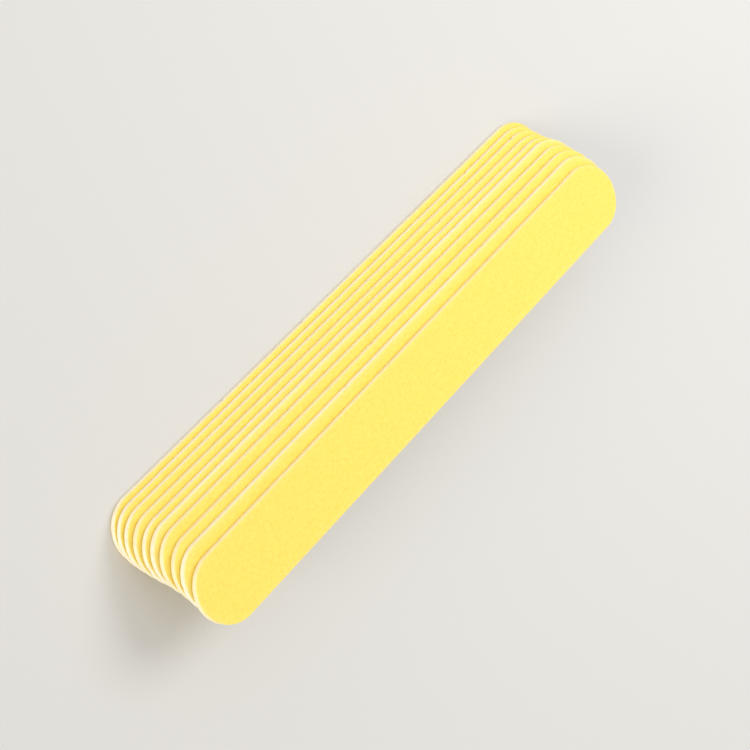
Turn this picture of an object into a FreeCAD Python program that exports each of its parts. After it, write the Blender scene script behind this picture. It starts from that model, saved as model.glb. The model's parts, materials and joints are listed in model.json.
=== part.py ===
import FreeCAD
import Part
import Sketcher
import math
import os

# Emery boards for filing nails: loose boards of one size, lying in a stack that is fanned sideways.
# Each board is a laminate: a thin wood core with a glue film and an abrasive sheet on either face.
# X runs along the boards, Z is up, and each higher board lies further towards -Y. The lowest board
# lies on Z = 0, and the origin is below the middle of the fan. Lengths are in millimetres.

# Sizes that every board shares
board_sizes = {
    "board_length": 178.0,
    "board_width": 19.0,
    "core_thickness": 1.2,
    "glue_thickness": 0.05,
    "sheet_thickness": 0.35,
    # The cutting die rolls the outer rim of an abrasive sheet over, by this share of its thickness.
    "rim_round_share": 0.6,
}

# How each board lies, from the lowest up: its step sideways from the board beneath,
# its shift along X from the middle of the stack, and its turn about Z in degrees.
fan_places = {
    "end_shift_01": 0.20, "turn_angle_01": 0.02,
    "side_step_02": 1.50, "end_shift_02": -0.25, "turn_angle_02": -0.12,
    "side_step_03": 1.50, "end_shift_03": -0.40, "turn_angle_03": -0.14,
    "side_step_04": 1.80, "end_shift_04": -0.30, "turn_angle_04": -0.14,
    "side_step_05": 1.60, "end_shift_05": -0.10, "turn_angle_05": -0.03,
    "side_step_06": 1.30, "end_shift_06": 0.10, "turn_angle_06": 0.04,
    "side_step_07": 2.20, "end_shift_07": 0.20, "turn_angle_07": -0.10,
    "side_step_08": 2.50, "end_shift_08": 0.40, "turn_angle_08": 0.09,
    "side_step_09": 2.25, "end_shift_09": 0.20, "turn_angle_09": 0.12,
    "side_step_10": 3.40, "end_shift_10": -0.15, "turn_angle_10": 0.25,
}
board_count = 10

# The layers of one board from its underside up: the name, the size that gives the thickness,
# and the face whose rim is rolled over
layers = [
    ("lower_abrasive_sheet", "sheet_thickness", "lower"),
    ("lower_glue_film", "glue_thickness", None),
    ("core", "core_thickness", None),
    ("upper_glue_film", "glue_thickness", None),
    ("upper_abrasive_sheet", "sheet_thickness", "upper"),
]

document = FreeCAD.newDocument("emery_boards")


def add_sizes():
    sheet = document.addObject("Spreadsheet::Sheet", "sizes")
    driving_values = {**board_sizes, **fan_places}
    for row, (alias, value) in enumerate(driving_values.items(), start=1):
        sheet.set(f"A{row}", alias)
        sheet.set(f"B{row}", str(value))
        sheet.setAlias(f"B{row}", alias)
    document.recompute()


def add_outline(body, label):
    # Two straight sides that run tangent into a full half circle at each end
    outline = body.newObject("Sketcher::SketchObject", f"{label}_outline")
    ground = next(plane for plane in body.Origin.OriginFeatures if plane.Role == "XY_Plane")
    outline.AttachmentSupport = (ground, "")
    outline.MapMode = "FlatFace"

    radius = board_sizes["board_width"] / 2
    centre_span = board_sizes["board_length"] - board_sizes["board_width"]
    far_centre = FreeCAD.Vector(centre_span / 2, 0, 0)
    near_centre = FreeCAD.Vector(-centre_span / 2, 0, 0)
    aside = FreeCAD.Vector(0, radius, 0)
    up = FreeCAD.Vector(0, 0, 1)
    quarter_turn = math.pi / 2

    left_side = outline.addGeometry(Part.LineSegment(far_centre + aside, near_centre + aside))
    near_circle = Part.Circle(near_centre, up, radius)
    near_end = outline.addGeometry(Part.ArcOfCircle(near_circle, quarter_turn, 3 * quarter_turn))
    right_side = outline.addGeometry(Part.LineSegment(near_centre - aside, far_centre - aside))
    far_circle = Part.Circle(far_centre, up, radius)
    far_end = outline.addGeometry(Part.ArcOfCircle(far_circle, -quarter_turn, quarter_turn))

    # Numbers that a constraint takes for the points of a line or an arc, and for the sketch's origin
    start_point, end_point, centre_point = 1, 2, 3
    origin_geometry = -1

    loop = [left_side, near_end, right_side, far_end]
    for piece, following in zip(loop, loop[1:] + loop[:1]):
        joint = Sketcher.Constraint("Tangent", piece, end_point, following, start_point)
        outline.addConstraint(joint)
    outline.addConstraint(Sketcher.Constraint("Horizontal", left_side))
    outline.addConstraint(Sketcher.Constraint("Equal", near_end, far_end))
    middle = (origin_geometry, start_point)
    centres = (near_end, centre_point, far_end, centre_point)
    outline.addConstraint(Sketcher.Constraint("Symmetric", *centres, *middle))

    end_radius = outline.addConstraint(Sketcher.Constraint("Radius", far_end, radius))
    outline.renameConstraint(end_radius, "end_radius")
    outline.setExpression("Constraints.end_radius", "sizes.board_width / 2")
    span = outline.addConstraint(Sketcher.Constraint("DistanceX", *centres, centre_span))
    outline.renameConstraint(span, "centre_span")
    outline.setExpression("Constraints.centre_span", "sizes.board_length - sizes.board_width")
    return outline


def outer_face(shape, side):
    heights = [face.CenterOfMass.z for face in shape.Faces]
    wanted = max(heights) if side == "upper" else min(heights)
    return f"Face{heights.index(wanted) + 1}"


def add_layer(label, thickness, rolled_side):
    body = document.addObject("PartDesign::Body", label)
    body.Label = label
    pad = body.newObject("PartDesign::Pad", f"{label}_pad")
    pad.Profile = add_outline(body, label)
    pad.setExpression("Length", f"sizes.{thickness}")
    document.recompute()
    if rolled_side:
        rim = body.newObject("PartDesign::Fillet", f"{label}_rim")
        rim.Base = (pad, [outer_face(pad.Shape, rolled_side)])
        rim.setExpression("Radius", f"sizes.{thickness} * sizes.rim_round_share")
    return body


def place_layer(layer, number, beneath):
    # All layers of a board share its place in the fan, and each rests on the layer beneath it.
    steps = [f"sizes.side_step_{above:02d}" for above in range(2, board_count + 1)]
    half_spread = f"({' + '.join(steps)}) / 2"
    steps_so_far = steps[:number - 1]
    layer.setExpression("Placement.Base.x", f"sizes.end_shift_{number:02d}")
    layer.setExpression("Placement.Base.y", " - ".join([half_spread] + steps_so_far))
    layer.setExpression("Placement.Rotation.Angle", f"sizes.turn_angle_{number:02d}")
    if beneath:
        resting_height = f"{beneath.Name}.Placement.Base.z + {beneath.Name}_pad.Length"
        layer.setExpression("Placement.Base.z", resting_height)


def build_stack():
    stack = []
    beneath = None
    for number in range(1, board_count + 1):
        for name, thickness, rolled_side in layers:
            layer = add_layer(f"board_{number:02d}_{name}", thickness, rolled_side)
            place_layer(layer, number, beneath)
            stack.append(layer)
            beneath = layer
    document.recompute()
    return stack


def check(stack):
    failed = [item.Label for item in document.Objects if {"Invalid", "Error"} & set(item.State)]
    for layer in stack:
        if layer.Shape.isNull() or not layer.Shape.isValid() or len(layer.Shape.Solids) != 1:
            failed.append(layer.Label)
    if failed:
        raise RuntimeError(f"these did not build: {failed}")


add_sizes()
stack = build_stack()
check(stack)
os.makedirs("parts", exist_ok=True)
for layer in stack:
    layer.Shape.exportStep(f"parts/{layer.Label}.step")
whole = Part.makeCompound([layer.Shape for layer in stack]).optimalBoundingBox()
print(f"{len(stack)} layers, {whole.XLength:.2f} x {whole.YLength:.2f} x {whole.ZLength:.2f} mm")
print(f"middle {whole.Center.x:.3f}, {whole.Center.y:.3f}, underside {whole.ZMin:.3f}")
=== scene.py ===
import json
import math

import bpy
import numpy as np
from mathutils import Matrix, Vector


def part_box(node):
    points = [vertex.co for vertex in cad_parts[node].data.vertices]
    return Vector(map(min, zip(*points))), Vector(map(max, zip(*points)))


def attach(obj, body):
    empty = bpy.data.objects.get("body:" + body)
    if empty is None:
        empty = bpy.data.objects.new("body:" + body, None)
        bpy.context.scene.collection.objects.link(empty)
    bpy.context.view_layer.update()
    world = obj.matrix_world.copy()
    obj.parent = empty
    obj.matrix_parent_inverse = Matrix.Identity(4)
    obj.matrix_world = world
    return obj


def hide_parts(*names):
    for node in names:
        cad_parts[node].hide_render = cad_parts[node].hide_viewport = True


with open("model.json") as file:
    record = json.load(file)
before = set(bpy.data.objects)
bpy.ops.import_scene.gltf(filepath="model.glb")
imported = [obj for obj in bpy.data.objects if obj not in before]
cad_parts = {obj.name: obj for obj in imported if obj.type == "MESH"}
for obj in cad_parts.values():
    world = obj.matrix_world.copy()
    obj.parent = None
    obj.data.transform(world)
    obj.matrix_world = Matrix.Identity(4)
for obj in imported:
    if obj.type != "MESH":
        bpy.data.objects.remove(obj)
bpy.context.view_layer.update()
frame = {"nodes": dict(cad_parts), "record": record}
mm = 0.001
boardNames = sorted(frame["record"]["behaviour"]["bodies"])
print("frame loaded:", len(frame["nodes"]), "nodes on", len(boardNames), "boards")

scene = bpy.context.scene
scene.view_settings.view_transform = "Standard"  # keeps the strong yellow from washing out


def toLinear(hexColour):
    # sRGB hex to the linear colour that shader sockets take
    channels = [int(hexColour[i:i + 2], 16) / 255 for i in (0, 2, 4)]
    linear = [c / 12.92 if c <= 0.04045 else ((c + 0.055) / 1.055) ** 2.4 for c in channels]
    return (*linear, 1.0)


def addNode(tree, kind, settings=None, links=None):
    # adds a node, sets its properties or socket values, and links sockets to other nodes' outputs
    node = tree.nodes.new(kind)
    for key, value in (settings or {}).items():
        if isinstance(key, str) and hasattr(node, key):
            setattr(node, key, value)
    for key, value in (settings or {}).items():
        if not (isinstance(key, str) and hasattr(node, key)):
            node.inputs[key].default_value = value
    for key, source in (links or {}).items():
        tree.links.new(source, node.inputs[key])
    return node


def startMaterial(name, look):
    # a material with one shader, whose finish is constant all over
    material = bpy.data.materials.new(name)
    material.use_nodes = True
    tree = material.node_tree
    tree.nodes.clear()
    shader = addNode(tree, "ShaderNodeBsdfPrincipled", {"Roughness": look["roughness"], "IOR": look["ior"]})
    addNode(tree, "ShaderNodeOutputMaterial", links={"Surface": shader.outputs["BSDF"]})
    return material, shader


# Yellow abrasive paper, grit bonded in a tinted size coat: matt, evenly yellow with a fine mottle,
# paler along the rim: partly paper that the cutting die has rolled and bared, partly a painted highlight
# that thins the coat over the first millimetres of the face.
coatLook = {
    "yellow": "F6DE64",
    "deepYellow": "F4D558",
    "paper": "F8ECB8",
    "roughness": 0.72,
    "ior": 1.5,
    "mottleMm": 1.1,  # patches of thicker and thinner coat
    "mottleDetail": 3.0,
    "mottleRoughness": 0.6,
    "mottleSpan": (0.3, 0.62),  # where the mottle turns from deep yellow to yellow
    "grainMm": 0.24,  # fine grit between the modelled grains, drawn coarser than the real 0.1 mm
    "grainHeightMm": 0.06,
    "raggedness": 0.5,  # how far single grains keep or lose the coat along the rim
    "raggedShift": -0.2,
    "coverSpan": (0.12, 0.9),  # from bare paper to full coat
}


def makeCoatMaterial():
    look = coatLook
    material, shader = startMaterial("yellowGritPaper", look)
    tree = material.node_tree
    place = addNode(tree, "ShaderNodeTexCoord")
    patches = addNode(tree, "ShaderNodeTexNoise", {
        "Scale": 1 / (look["mottleMm"] * mm),
        "Detail": look["mottleDetail"],
        "Roughness": look["mottleRoughness"],
    }, {"Vector": place.outputs["Object"]})
    tint = addNode(tree, "ShaderNodeValToRGB", links={"Fac": patches.outputs["Fac"]})
    for stop, spot, tone in zip(tint.color_ramp.elements, look["mottleSpan"], ("deepYellow", "yellow")):
        stop.position = spot
        stop.color = toLinear(look[tone])
    # the coat's share, thinned along the rim partly as a painted highlight
    coat = addNode(tree, "ShaderNodeAttribute", {"attribute_name": "coat"})
    grit = addNode(tree, "ShaderNodeTexVoronoi", {"Scale": 1 / (look["grainMm"] * mm)},
                   {"Vector": place.outputs["Object"]})
    # the coat ends raggedly along the rim, grain by grain
    ragged = addNode(tree, "ShaderNodeMath", {
        "operation": "MULTIPLY_ADD", 1: look["raggedness"], 2: look["raggedShift"],
    }, {0: grit.outputs["Distance"]})
    edge = addNode(tree, "ShaderNodeMath", {"operation": "ADD", "use_clamp": True},
                   {0: coat.outputs["Fac"], 1: ragged.outputs["Value"]})
    bare, full = look["coverSpan"]
    covered = addNode(tree, "ShaderNodeMapRange", {"From Min": bare, "From Max": full},
                      {"Value": edge.outputs["Value"]})
    # a mix of colours takes its share at socket 0 and the two colours at 6 and 7, and gives output 2
    colour = addNode(tree, "ShaderNodeMix", {"data_type": "RGBA", 6: toLinear(look["paper"])},
                     {0: covered.outputs["Result"], 7: tint.outputs["Color"]})
    relief = addNode(tree, "ShaderNodeBump", {"Distance": look["grainHeightMm"] * mm, "invert": True},
                     {"Height": grit.outputs["Distance"]})
    tree.links.new(colour.outputs[2], shader.inputs["Base Color"])
    tree.links.new(relief.outputs["Normal"], shader.inputs["Normal"])
    return material


# Basswood core, die-cut and bare: a pale cream edge with fine fibres along the board,
# end grain round the tips, and a share of white that changes from the near end to the far end: partly a
# tone that differs a little from board to board, partly a painted highlight on the cut edge.
woodLook = {
    "cream": "F6E9C4",
    "white": "F6F0E0",
    "fibre": "DDBF88",
    "roughness": 0.75,
    "ior": 1.5,
    "fibreLengthMm": 7.0,
    "fibreWidthMm": 0.16,
    "bandLengthMm": 60.0,
    "bandWidthMm": 1.1,
    "grainDetail": 3.0,
    "grainRoughness": 0.6,
    "bandShare": 0.6,  # how strongly dark fibres gather in the darker bands
    "streakSpan": (0.78, 1.08),  # from clear wood to the darkest fibre
    "streakStrength": 0.75,
    "fibreReliefMm": 0.05,
    "reliefStrength": 0.7,
}


def makeWoodMaterial():
    look = woodLook
    material, shader = startMaterial("bareBasswood", look)
    tree = material.node_tree
    place = addNode(tree, "ShaderNodeTexCoord")
    grain = {}
    for kind in ("fibre", "band"):
        lengthwise = 1 / (look[f"{kind}LengthMm"] * mm)
        crosswise = 1 / (look[f"{kind}WidthMm"] * mm)
        stretch = addNode(tree, "ShaderNodeMapping", {"Scale": (lengthwise, crosswise, crosswise)},
                          {"Vector": place.outputs["Object"]})
        noise = addNode(tree, "ShaderNodeTexNoise", {
            "Scale": 1.0,
            "Detail": look["grainDetail"],
            "Roughness": look["grainRoughness"],
        }, {"Vector": stretch.outputs["Vector"]})
        grain[kind] = noise.outputs["Fac"]
    # the share of white carries a painted highlight as well as the board's own tone
    tone = addNode(tree, "ShaderNodeAttribute", {"attribute_name": "woodToneAndHighlight"})
    base = addNode(tree, "ShaderNodeMix", {
        "data_type": "RGBA", 6: toLinear(look["cream"]), 7: toLinear(look["white"]),
    }, {0: tone.outputs["Fac"]})
    gathered = addNode(tree, "ShaderNodeMath", {"operation": "MULTIPLY_ADD", 1: look["bandShare"]},
                       {0: grain["band"], 2: grain["fibre"]})
    clear, darkest = look["streakSpan"]
    streaks = addNode(tree, "ShaderNodeMapRange", {
        "From Min": clear, "From Max": darkest, "To Max": look["streakStrength"],
    }, {"Value": gathered.outputs["Value"]})
    colour = addNode(tree, "ShaderNodeMix", {"data_type": "RGBA", 7: toLinear(look["fibre"])},
                     {0: streaks.outputs["Result"], 6: base.outputs[2]})
    relief = addNode(tree, "ShaderNodeBump", {
        "Strength": look["reliefStrength"], "Distance": look["fibreReliefMm"] * mm, "invert": True,
    }, {"Height": grain["fibre"]})
    tree.links.new(colour.outputs[2], shader.inputs["Base Color"])
    tree.links.new(relief.outputs["Normal"], shader.inputs["Normal"])
    return material


# Dried laminating glue: a hairline between core and paper, amber and a little glossy
glueLook = {
    "amber": "E3CF93",
    "roughness": 0.4,
    "ior": 1.48,
    "insetMm": 0.03,  # the film stops short of the cut edge
}

# Abrasive grains under the tinted size coat: mostly the coat's yellow, some paler where the tint is
# thin, and a rare bare dark grain
grainLook = {
    "yellow": "F6DE64",
    "pale": "F7E484",
    "dark": "CFAC4C",
    "roughness": 0.5,
    "ior": 1.6,
}


def makePlainMaterial(name, colour, look):
    material, shader = startMaterial(name, look)
    shader.inputs["Base Color"].default_value = toLinear(colour)
    return material


coatMaterial = makeCoatMaterial()
woodMaterial = makeWoodMaterial()
glueMaterial = makePlainMaterial("driedGlue", glueLook["amber"], glueLook)
grainMaterials = {
    tone: makePlainMaterial(f"{tone}AbrasiveGrain", grainLook[tone], grainLook)
    for tone in ("yellow", "pale", "dark")
}
print("materials made:", len(bpy.data.materials))


def readBoard(body):
    # where a board lies, read from its core: centre, turn about Z, half length and half width
    points = np.array([v.co for v in frame["nodes"][f"{body}_core"].data.vertices])[:, :2]
    centre = (points.min(0) + points.max(0)) / 2
    x, y = (points - centre).T
    turn = 0.5 * math.atan2(2 * (x * y).sum(), (x * x).sum() - (y * y).sum())
    along = x * math.cos(turn) + y * math.sin(turn)
    across = y * math.cos(turn) - x * math.sin(turn)
    return {
        "body": body,
        "number": int(body[-2:]),
        "centre": centre,
        "turn": turn,
        "halfLength": np.abs(along).max(),
        "halfWidth": np.abs(across).max(),
    }


# The die-cut outline: stations round the board, with a slight wander and a few nicks, all inwards
cutLook = {
    "straightStepMm": 0.6,
    "arcSteps": 56,
    "wanderMm": 0.035,
    "wanderWaves": (23, 37, 61, 97, 149, 211),  # waves in one round of the board
    "nicks": 7,
    "nickDepthMm": (0.05, 0.2),
    "nickHalfLengthMm": (0.25, 0.7),
    "crispDeg": 38,  # edges sharper than this stay crisp
    "seed": 41,
}


def walkOutline(board):
    # spine point and outward direction at each station, once round the board
    radius = board["halfWidth"]
    reach = board["halfLength"] - radius
    straightSteps = round(2 * reach / (cutLook["straightStepMm"] * mm))
    run = np.linspace(-reach, reach, straightSteps, endpoint=False)
    bend = np.linspace(-math.pi / 2, math.pi / 2, cutLook["arcSteps"], endpoint=False)
    spine = np.concatenate([run, np.full(len(bend), reach), -run, np.full(len(bend), -reach)])
    angle = np.concatenate([np.full(len(run), -math.pi / 2), bend,
                            np.full(len(run), math.pi / 2), bend + math.pi])
    outward = np.stack([np.cos(angle), np.sin(angle)], axis=1)
    points = np.stack([spine, np.zeros_like(spine)], axis=1) + radius * outward
    steps = np.linalg.norm(np.roll(points, -1, axis=0) - points, axis=1)
    distance = np.concatenate([[0], np.cumsum(steps)[:-1]])
    return {"spine": spine, "outward": outward, "distance": distance, "girth": steps.sum()}


def cutWander(outline, seed):
    # how far each station lies inside the true outline, in metres
    draw = np.random.default_rng(seed)
    turnShare = outline["distance"] / outline["girth"]
    inset = np.zeros_like(turnShare)
    for waves in cutLook["wanderWaves"]:
        inset += np.sin(2 * math.pi * (waves * turnShare + draw.random()))
    inset = (inset - inset.min()) / (inset.max() - inset.min()) * cutLook["wanderMm"] * mm
    for _ in range(cutLook["nicks"]):
        spot = draw.random() * outline["girth"]
        depth = draw.uniform(*cutLook["nickDepthMm"]) * mm
        half = draw.uniform(*cutLook["nickHalfLengthMm"]) * mm
        away = np.abs(outline["distance"] - spot)
        away = np.minimum(away, outline["girth"] - away)
        inset += depth * np.exp(-(away / half) ** 2)
    return inset


def ringPoints(board, outline, inset, height):
    # the outline drawn in by an inset at one height, in the stack's own frame
    reach = board["halfWidth"] - inset
    along = outline["spine"] + reach * outline["outward"][:, 0]
    across = reach * outline["outward"][:, 1]
    turnCos = math.cos(board["turn"])
    turnSin = math.sin(board["turn"])
    x = board["centre"][0] + along * turnCos - across * turnSin
    y = board["centre"][1] + along * turnSin + across * turnCos
    return np.stack([x, y, np.broadcast_to(height, x.shape)], axis=-1)


def buildRings(name, board, outline, rings, attribute=None, values=None):
    # a closed solid: rings of stations from the underside up, walls between them, flat caps at both ends
    grid = np.stack([ringPoints(board, outline, inset, height) for inset, height in rings])
    count, around = grid.shape[:2]
    faces = []
    for level in range(count - 1):
        here = level * around
        there = here + around
        for i in range(around):
            j = (i + 1) % around
            faces.append((here + i, here + j, there + j, there + i))
    faces.append(tuple(reversed(range(around))))
    faces.append(tuple(range((count - 1) * around, count * around)))
    mesh = bpy.data.meshes.new(name)
    mesh.from_pydata(grid.reshape(-1, 3).tolist(), [], faces)
    mesh.shade_smooth()
    mesh.set_sharp_from_angle(angle=math.radians(cutLook["crispDeg"]))
    if attribute:
        spread = np.broadcast_to(values, (count, around)).ravel().astype(np.float32)
        mesh.attributes.new(attribute, "FLOAT", "POINT").data.foreach_set("value", spread)
    piece = bpy.data.objects.new(name, mesh)
    scene.collection.objects.link(piece)
    return piece


def dress(piece, board, material, node):
    # gives a layer its material and puts it in its node's stead
    piece.data.materials.append(material)
    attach(piece, board["body"])
    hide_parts(node)


# Abrasive sheets: paper with a rolled outer rim. The coat lies a grain's height below the node's face,
# so that the grains' tips reach that face and never the board beyond it.
sheetLook = {
    "grainHeightMm": 0.11,
    "rimRadiusMm": 0.19,
    "rimSteps": 5,
    "rimCoat": 0.75,  # share of coat left at the top of the rolled rim
    "supportMm": 0.08,  # a ring just past the rim that keeps its shading in place
    # the coat thins over these insets towards the rim: partly bared paper, partly a painted rim highlight
    "rimHighlightFadeMm": (0.8, 1.5, 2.4),
    "rimHighlightFadeCoat": (0.76, 0.82, 0.89, 1.0),  # share of coat at the support ring and at each ring further in; the paler band it leaves is partly a painted highlight
    "rimPaintedHighlight": {6: 1.8, 9: 1.5},  # boards whose rims are drawn paler still: a painted highlight, drawn as paper that the die has bared
}


def buildSheet(board, outline, wander, side):
    node = f"{board['body']}_{side}_abrasive_sheet"
    low, high = (corner.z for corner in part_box(node))
    grain = sheetLook["grainHeightMm"] * mm
    radius = sheetLook["rimRadiusMm"] * mm
    if side == "upper":
        inner, face, up = low, high - grain, 1
    else:
        inner, face, up = high, low + grain, -1
    rings = [(wander, inner), (wander, face - up * radius)]
    coat = [0.0, 0.0]
    for step in range(1, sheetLook["rimSteps"] + 1):
        bend = step / sheetLook["rimSteps"] * math.pi / 2
        rings.append((wander + radius * (1 - math.cos(bend)), face - up * radius * (1 - math.sin(bend))))
        coat.append(sheetLook["rimCoat"] * step / sheetLook["rimSteps"])
    # the coat thins towards the rim: bared paper at the cut edge and a painted highlight along the rim
    rimHighlightFade = (sheetLook["rimRadiusMm"] + sheetLook["supportMm"], *sheetLook["rimHighlightFadeMm"])
    for insetMm, share in zip(rimHighlightFade, sheetLook["rimHighlightFadeCoat"]):
        rings.append((wander + insetMm * mm, face))
        coat.append(share)
    # paler rims on some boards: a painted highlight
    rimHighlightGain = sheetLook["rimPaintedHighlight"].get(board["number"], 1.0)
    coat = [max(0.0, 1 - (1 - share) * rimHighlightGain) for share in coat]
    if up < 0:
        rings.reverse()
        coat.reverse()
    piece = buildRings(f"{board['body']}_{side}_sheet", board, outline, rings, "coat",
                       np.array(coat)[:, None])
    dress(piece, board, coatMaterial, node)
    return face, up


# Wood core: walls with shallow fibre ridges
coreLook = {
    "levels": 7,
    "ridgeMm": 0.025,
    "ridgeEven": 0.6,  # share of a ridge that runs all round, the rest swells and ebbs
    "driftMm": 23.0,  # length over which it does so
    "seed": 7,
    # share of white in each core's cream, at the near end and at the far end: partly each board's own tone,
    # partly a painted highlight
    "toneAndHighlightNear": (0.9, 0.9, 0.8, 0.2, 0.9, 0.8, 0.1, 0.1, 0.9, 0.1),
    "toneAndHighlightFar": (0.7, 0.6, 0.0, 0.0, 0.35, 1.0, 0.3, 0.1, 0.5, 0.0),
}


def buildCore(board, outline, wander):
    node = f"{board['body']}_core"
    low, high = (corner.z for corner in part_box(node))
    draw = np.random.default_rng((coreLook["seed"], board["number"]))
    even = coreLook["ridgeEven"]
    rings = []
    for level in range(coreLook["levels"]):
        ridge = draw.random() * coreLook["ridgeMm"] * mm
        drift = np.sin(2 * math.pi * (outline["distance"] / (coreLook["driftMm"] * mm) + draw.random()))
        inset = wander + ridge * (even + (1 - even) * drift)
        rings.append((inset, low + (high - low) * level / (coreLook["levels"] - 1)))
    # the cut edge whitens between the near and the far end: the board's own tone and a painted highlight
    toneAndHighlightNear = coreLook["toneAndHighlightNear"][board["number"] - 1]
    toneAndHighlightFar = coreLook["toneAndHighlightFar"][board["number"] - 1]
    alongShare = 0.5 + 0.5 * outline["spine"] / board["halfLength"]
    tone = toneAndHighlightNear * (1 - alongShare) + toneAndHighlightFar * alongShare
    piece = buildRings(f"{board['body']}_wood_core", board, outline, rings, "woodToneAndHighlight", tone)
    dress(piece, board, woodMaterial, node)


def buildGlue(board, outline, wander, side):
    node = f"{board['body']}_{side}_glue_film"
    low, high = (corner.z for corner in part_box(node))
    inset = wander + glueLook["insetMm"] * mm
    piece = buildRings(f"{board['body']}_{side}_glue", board, outline, [(inset, low), (inset, high)])
    dress(piece, board, glueMaterial, node)


# Grit: abrasive grains scattered over each coat, one point to a grain, drawn two to three times
# the real 0.1 mm so that they show
gritLook = {
    "inputs": {
        "Spacing": 0.36 * mm,
        "Density": 2.4e7,  # points to a square metre, before the spacing thins them
        "Grain size": 0.17 * mm,
        "Grain height": sheetLook["grainHeightMm"] * mm,
        "Lean": 0.55,
        "Pale share": 0.3,
        "Dark share": 0.004,
    },
    "leastBulk": (0.65, 0.65, 0.35),  # smallest grain along, across and upwards, as shares of its size
    "mostBulk": (1.2, 1.2, 1.0),
    "rimClearMm": 0.45,
    "seed": 300,
}


def makeGritTree():
    tree = bpy.data.node_groups.new("gritScatter", "GeometryNodeTree")
    tree.interface.new_socket("Geometry", in_out="INPUT", socket_type="NodeSocketGeometry")
    for label in gritLook["inputs"]:
        tree.interface.new_socket(label, in_out="INPUT", socket_type="NodeSocketFloat")
    tree.interface.new_socket("Seed", in_out="INPUT", socket_type="NodeSocketInt")
    for tone in grainMaterials:
        tree.interface.new_socket(f"Grain {tone}", in_out="INPUT", socket_type="NodeSocketMaterial")
    tree.interface.new_socket("Geometry", in_out="OUTPUT", socket_type="NodeSocketGeometry")
    given = addNode(tree, "NodeGroupInput").outputs
    spots = addNode(tree, "GeometryNodeDistributePointsOnFaces", {"distribute_method": "POISSON"}, {
        "Mesh": given["Geometry"], "Distance Min": given["Spacing"],
        "Density Max": given["Density"], "Seed": given["Seed"],
    })
    # one grain: a three-sided shard of unit size whose point leans to one side
    shard = addNode(tree, "GeometryNodeMeshCone", {
        "Vertices": 3, "Radius Top": 0.0, "Radius Bottom": 1.0, "Depth": 1.0,
    })
    place = addNode(tree, "GeometryNodeInputPosition")
    height = addNode(tree, "ShaderNodeSeparateXYZ", links={"Vector": place.outputs["Position"]})
    leaning = addNode(tree, "ShaderNodeMath", {"operation": "MULTIPLY"},
                      {0: height.outputs["Z"], 1: given["Lean"]})
    aside = addNode(tree, "ShaderNodeCombineXYZ", links={"X": leaning.outputs["Value"]})
    leaned = addNode(tree, "GeometryNodeSetPosition", links={
        "Geometry": shard.outputs["Mesh"], "Offset": aside.outputs["Vector"],
    })
    # each grain is turned and sized by chance
    spin = addNode(tree, "FunctionNodeRandomValue", {
        "data_type": "FLOAT_VECTOR", 0: (0, 0, 0), 1: (0, 0, 2 * math.pi),
    }, {"Seed": given["Seed"]})
    turned = addNode(tree, "FunctionNodeRotateRotation", {"rotation_space": "LOCAL"}, {
        "Rotation": spots.outputs["Rotation"], "Rotate By": spin.outputs["Value"],
    })
    bulk = addNode(tree, "FunctionNodeRandomValue", {
        "data_type": "FLOAT_VECTOR", 0: gritLook["leastBulk"], 1: gritLook["mostBulk"],
    }, {"Seed": given["Seed"]})
    unit = addNode(tree, "ShaderNodeCombineXYZ", links={
        "X": given["Grain size"], "Y": given["Grain size"], "Z": given["Grain height"],
    })
    size = addNode(tree, "ShaderNodeVectorMath", {"operation": "MULTIPLY"},
                   {0: bulk.outputs["Value"], 1: unit.outputs["Vector"]})
    grains = addNode(tree, "GeometryNodeInstanceOnPoints", links={
        "Points": spots.outputs["Points"], "Instance": leaned.outputs["Geometry"],
        "Rotation": turned.outputs["Rotation"], "Scale": size.outputs["Vector"],
    })
    # a chance drawn for each grain, output 1 being the plain number, picks its tone
    chance = addNode(tree, "FunctionNodeRandomValue", {"data_type": "FLOAT"}, {"Seed": given["Seed"]})
    marked = addNode(tree, "GeometryNodeStoreNamedAttribute", {
        "data_type": "FLOAT", "domain": "INSTANCE", "Name": "chance",
    }, {"Geometry": grains.outputs["Instances"], "Value": chance.outputs[1]})
    real = addNode(tree, "GeometryNodeRealizeInstances", links={"Geometry": marked.outputs["Geometry"]})
    drawn = addNode(tree, "GeometryNodeInputNamedAttribute", {"data_type": "FLOAT", "Name": "chance"})
    finished = addNode(tree, "GeometryNodeSetMaterial", links={
        "Geometry": real.outputs["Geometry"], "Material": given["Grain yellow"],
    })
    for tone in ("pale", "dark"):
        rare = addNode(tree, "FunctionNodeCompare", {"data_type": "FLOAT", "operation": "LESS_THAN"}, {
            0: drawn.outputs["Attribute"], 1: given[f"{tone.capitalize()} share"],
        })
        finished = addNode(tree, "GeometryNodeSetMaterial", links={
            "Geometry": finished.outputs["Geometry"], "Selection": rare.outputs["Result"],
            "Material": given[f"Grain {tone}"],
        })
    addNode(tree, "NodeGroupOutput", links={"Geometry": finished.outputs["Geometry"]})
    return tree


gritTree = makeGritTree()
gritInputs = {item.name: item.identifier for item in gritTree.interface.items_tree
              if item.in_out == "INPUT"}


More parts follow.
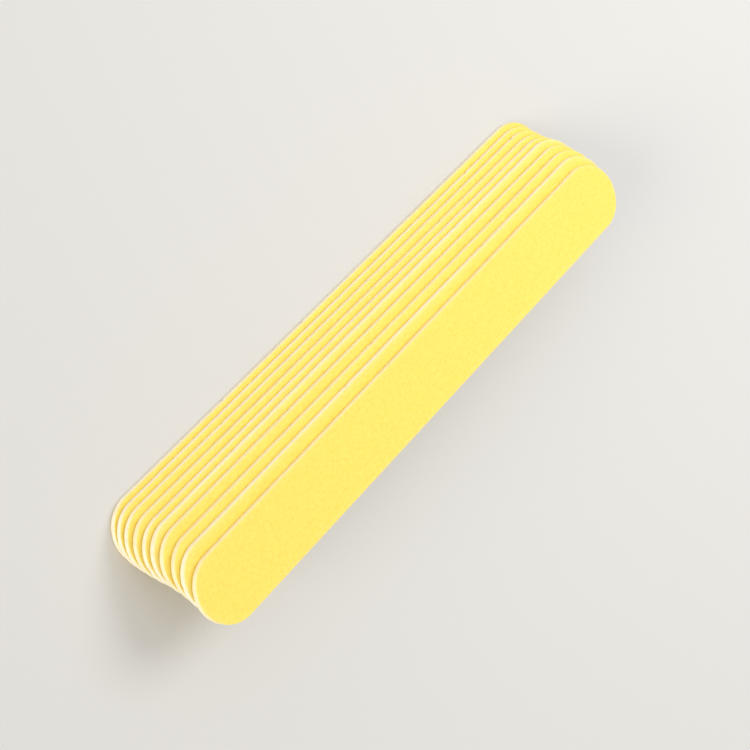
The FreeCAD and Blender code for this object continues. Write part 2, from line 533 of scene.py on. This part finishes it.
def buildGrit(board, outline, wander, side, face, up):
    ring = ringPoints(board, outline, wander + gritLook["rimClearMm"] * mm, face)
    order = range(len(ring)) if up > 0 else reversed(range(len(ring)))
    bed = bpy.data.meshes.new("gritBed")
    bed.from_pydata(ring.tolist(), [], [tuple(order)])
    carrier = bpy.data.objects.new("gritBed", bed)
    scene.collection.objects.link(carrier)
    scatter = carrier.modifiers.new("grit", "NODES")
    scatter.node_group = gritTree
    for label, value in gritLook["inputs"].items():
        scatter[gritInputs[label]] = value
    scatter[gritInputs["Seed"]] = gritLook["seed"] + 2 * board["number"] + (up > 0)
    for tone, material in grainMaterials.items():
        scatter[gritInputs[f"Grain {tone}"]] = material
    evaluated = carrier.evaluated_get(bpy.context.evaluated_depsgraph_get())
    mesh = bpy.data.meshes.new_from_object(evaluated)
    mesh.name = f"{board['body']}_{side}_grit"
    mesh.attributes.remove(mesh.attributes["chance"])
    carrier.modifiers.remove(scatter)
    bpy.data.objects.remove(carrier)
    bpy.data.meshes.remove(bed)
    piece = bpy.data.objects.new(mesh.name, mesh)
    scene.collection.objects.link(piece)
    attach(piece, board["body"])
    return len(mesh.polygons)


for body in boardNames:
    board = readBoard(body)
    outline = walkOutline(board)
    wander = cutWander(outline, (cutLook["seed"], board["number"]))
    buildCore(board, outline, wander)
    gritFaces = 0
    for side in ("lower", "upper"):
        face, up = buildSheet(board, outline, wander, side)
        buildGlue(board, outline, wander, side)
        gritFaces += buildGrit(board, outline, wander, side, face, up)
    print(body, "built:", len(outline["spine"]), "stations,", gritFaces, "grit faces")


# Pale matt floor, well past the frame
floorLook = {"colour": "D2D1CE", "roughness": 0.8, "ior": 1.5, "sizeM": 8.0}


def addFloor():
    half = floorLook["sizeM"] / 2
    corners = [(-half, -half, 0), (half, -half, 0), (half, half, 0), (-half, half, 0)]
    mesh = bpy.data.meshes.new("floor")
    mesh.from_pydata(corners, [], [(0, 1, 2, 3)])
    mesh.materials.append(makePlainMaterial("paleMattBoard", floorLook["colour"], floorLook))
    floor = bpy.data.objects.new("floor", mesh)
    scene.collection.objects.link(floor)


# Soft light: a broad key beyond the far end, a low and distant fill from the camera's side that opens
# up the cut edges and lights the floor evenly, and a pale room
lightRig = {
    "key": {
        "roundDeg": 6,
        "riseDeg": 55,
        "awayM": 0.76,
        "sizeM": 0.45,
        "watts": 2.5,
        "colour": "FFFFFF",
    },
    "fill": {
        "roundDeg": 160,
        "riseDeg": 17,
        "spanDeg": 32,  # how much of the room the fill takes up, for soft shadows
        "wattsPerM2": 1.7,
        "colour": "FFF3E2",
    },
    "room": "FFFFFF",
    "roomStrength": 0.757,
    "horizon": "E8E6E1",  # the tone of the far floor
    "horizonDeg": 12,
}


def aim(roundDeg, riseDeg):
    # unit direction towards a light or the camera
    turn = math.radians(roundDeg)
    rise = math.radians(riseDeg)
    return Vector((math.cos(rise) * math.cos(turn), math.cos(rise) * math.sin(turn), math.sin(rise)))


def addLamp(name, kind, look):
    # a lamp turned to shine on the stack from its own side
    lamp = bpy.data.lights.new(name, kind)
    lamp.color = toLinear(look["colour"])[:3]
    light = bpy.data.objects.new(name, lamp)
    towards = aim(look["roundDeg"], look["riseDeg"])
    light.rotation_euler = (-towards).to_track_quat("-Z", "Y").to_euler()
    scene.collection.objects.link(light)
    return light


def addLights():
    look = lightRig["key"]
    key = addLamp("key", "AREA", look)
    key.location = aim(look["roundDeg"], look["riseDeg"]) * look["awayM"]
    key.data.shape = "DISK"
    key.data.size = look["sizeM"]
    key.data.energy = look["watts"]
    look = lightRig["fill"]
    fill = addLamp("fill", "SUN", look)
    fill.data.angle = math.radians(look["spanDeg"])
    fill.data.energy = look["wattsPerM2"]


def addRoom():
    world = bpy.data.worlds.new("room")
    world.use_nodes = True
    tree = world.node_tree
    background = tree.nodes["Background"]
    background.inputs["Strength"].default_value = lightRig["roomStrength"]
    # the room darkens towards the horizon to the tone of the far floor, so that no line shows there
    direction = addNode(tree, "ShaderNodeTexCoord")
    height = addNode(tree, "ShaderNodeSeparateXYZ", links={"Vector": direction.outputs["Object"]})
    rise = addNode(tree, "ShaderNodeMapRange", {
        "interpolation_type": "SMOOTHSTEP", "From Max": math.sin(math.radians(lightRig["horizonDeg"])),
    }, {"Value": height.outputs["Z"]})
    blend = addNode(tree, "ShaderNodeMix", {
        "data_type": "RGBA", 6: toLinear(lightRig["horizon"]), 7: toLinear(lightRig["room"]),
    }, {0: rise.outputs["Result"]})
    tree.links.new(blend.outputs[2], background.inputs["Color"])
    scene.world = world


# The photograph's camera: angles and distance about a point on the table, roll about the line of sight
cameraView = {
    "elevationDeg": 52.632,
    "azimuthDeg": 146.386,
    "rollDeg": 83.951,
    "distanceMm": 541.0,
    "targetMm": (0.316, -7.017, 0.0),
    "focalPixels": 2033.0,
    "framePixels": 750,
    "sensorMm": 36.0,
    "clipM": (0.01, 20.0),
}


def addCamera():
    look = cameraView
    roll = math.radians(look["rollDeg"])
    back = aim(look["azimuthDeg"], look["elevationDeg"])
    level = Vector((0, 0, 1)).cross(back).normalized()
    above = back.cross(level)
    right = level * math.cos(roll) + above * math.sin(roll)
    up = above * math.cos(roll) - level * math.sin(roll)
    lens = bpy.data.cameras.new("camera")
    lens.sensor_width = look["sensorMm"]
    lens.lens = look["sensorMm"] * look["focalPixels"] / look["framePixels"]
    lens.clip_start, lens.clip_end = look["clipM"]
    camera = bpy.data.objects.new("camera", lens)
    camera.matrix_world = Matrix((right, up, back)).transposed().to_4x4()
    camera.location = Vector(look["targetMm"]) * mm + back * look["distanceMm"] * mm
    scene.collection.objects.link(camera)
    scene.camera = camera


addFloor()
addLights()
addRoom()
addCamera()
print("floor, lights, room and camera set")
